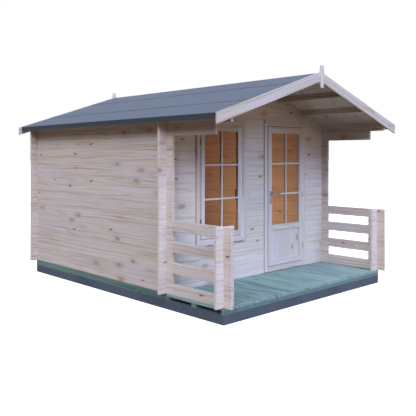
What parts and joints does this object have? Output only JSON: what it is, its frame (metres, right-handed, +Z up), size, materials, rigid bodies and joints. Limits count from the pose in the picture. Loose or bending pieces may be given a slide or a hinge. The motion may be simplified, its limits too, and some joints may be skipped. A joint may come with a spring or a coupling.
{
  "type": "log cabin",
  "caption": "Small garden cabin of interlocking logs with a felted gable roof, a glazed window, a hinged half-glazed door and a railed front veranda on a base slab.",
  "frame": {"origin": "on the ground under the middle of the whole part, at the underside of the base slab", "axes": "+X to the right seen from the front, +Y from the veranda to the rear wall, +Z up"},
  "size_m": [3.3082, 4.0956, 2.6893],
  "materials": {
    "logs": "planed spruce, untreated",
    "roof_timber": "planed spruce, untreated",
    "joinery": "planed spruce, untreated",
    "floor_boards": "planed spruce boards",
    "deck_boards": "green pressure-treated boards",
    "treated_timber": "green pressure-treated",
    "concrete": "dark grey, smooth",
    "felt": "blue-grey mineral felt",
    "glass": "clear",
    "black_iron": "black, satin",
    "satin_metal": "satin"
  },
  "bodies": {
    "cabin": {"base_slab": "concrete", "wall_bearers": "treated_timber", "veranda_bearers": "treated_timber", "floor_joists": "treated_timber", "cabin_floor": "floor_boards", "veranda_deck": "deck_boards", "left_wall": "logs", "right_wall": "logs", "rear_wall": "logs", "front_wall_below": "logs", "front_wall_left": "logs", "front_wall_middle": "logs", "front_wall_right": "logs", "front_wall_top": "logs", "left_post": "logs", "right_post": "logs", "ridge_purlin": "roof_timber", "purlins": "roof_timber", "roof_boards_left": "roof_timber", "roof_boards_right": "roof_timber", "roof_felt_left": "felt", "roof_felt_right": "felt", "ridge_felt": "felt", "eaves_boards": "roof_timber", "barge_boards_front": "roof_timber", "barge_boards_rear": "roof_timber", "finials": "roof_timber", "window_jambs": "joinery", "window_head_and_sill": "joinery", "window_covers": "joinery", "sash_stiles": "joinery", "sash_rails": "joinery", "window_glass": "glass", "window_hinges": "black_iron", "window_handle": "black_iron", "door_jambs": "joinery", "door_head_and_threshold": "joinery", "door_cap": "joinery", "door_hinge_pins": "satin_metal"},
    "door": {"door_stiles": "joinery", "door_rails": "joinery", "door_panel": "joinery", "door_glass": "glass", "door_hinge_leaves": "satin_metal", "lock_plates": "satin_metal"},
    "lever": {"door_lever": "satin_metal"}
  },
  "joints": [
    {"name": "door_swing", "type": "hinge", "parent": "cabin", "child": "door", "pos_m": [0.93725, -1.0595, 1.127], "axis": [0, 0, 1], "range_deg": [0, 110]},
    {"name": "lever_turn", "type": "hinge", "parent": "door", "child": "lever", "pos_m": [0.2755, -1.051, 1.177], "axis": [0, 1, 0], "range_deg": [0, 40], "stiffness_Nm_per_rad": 3, "springref_deg": -11.46}
  ]
}
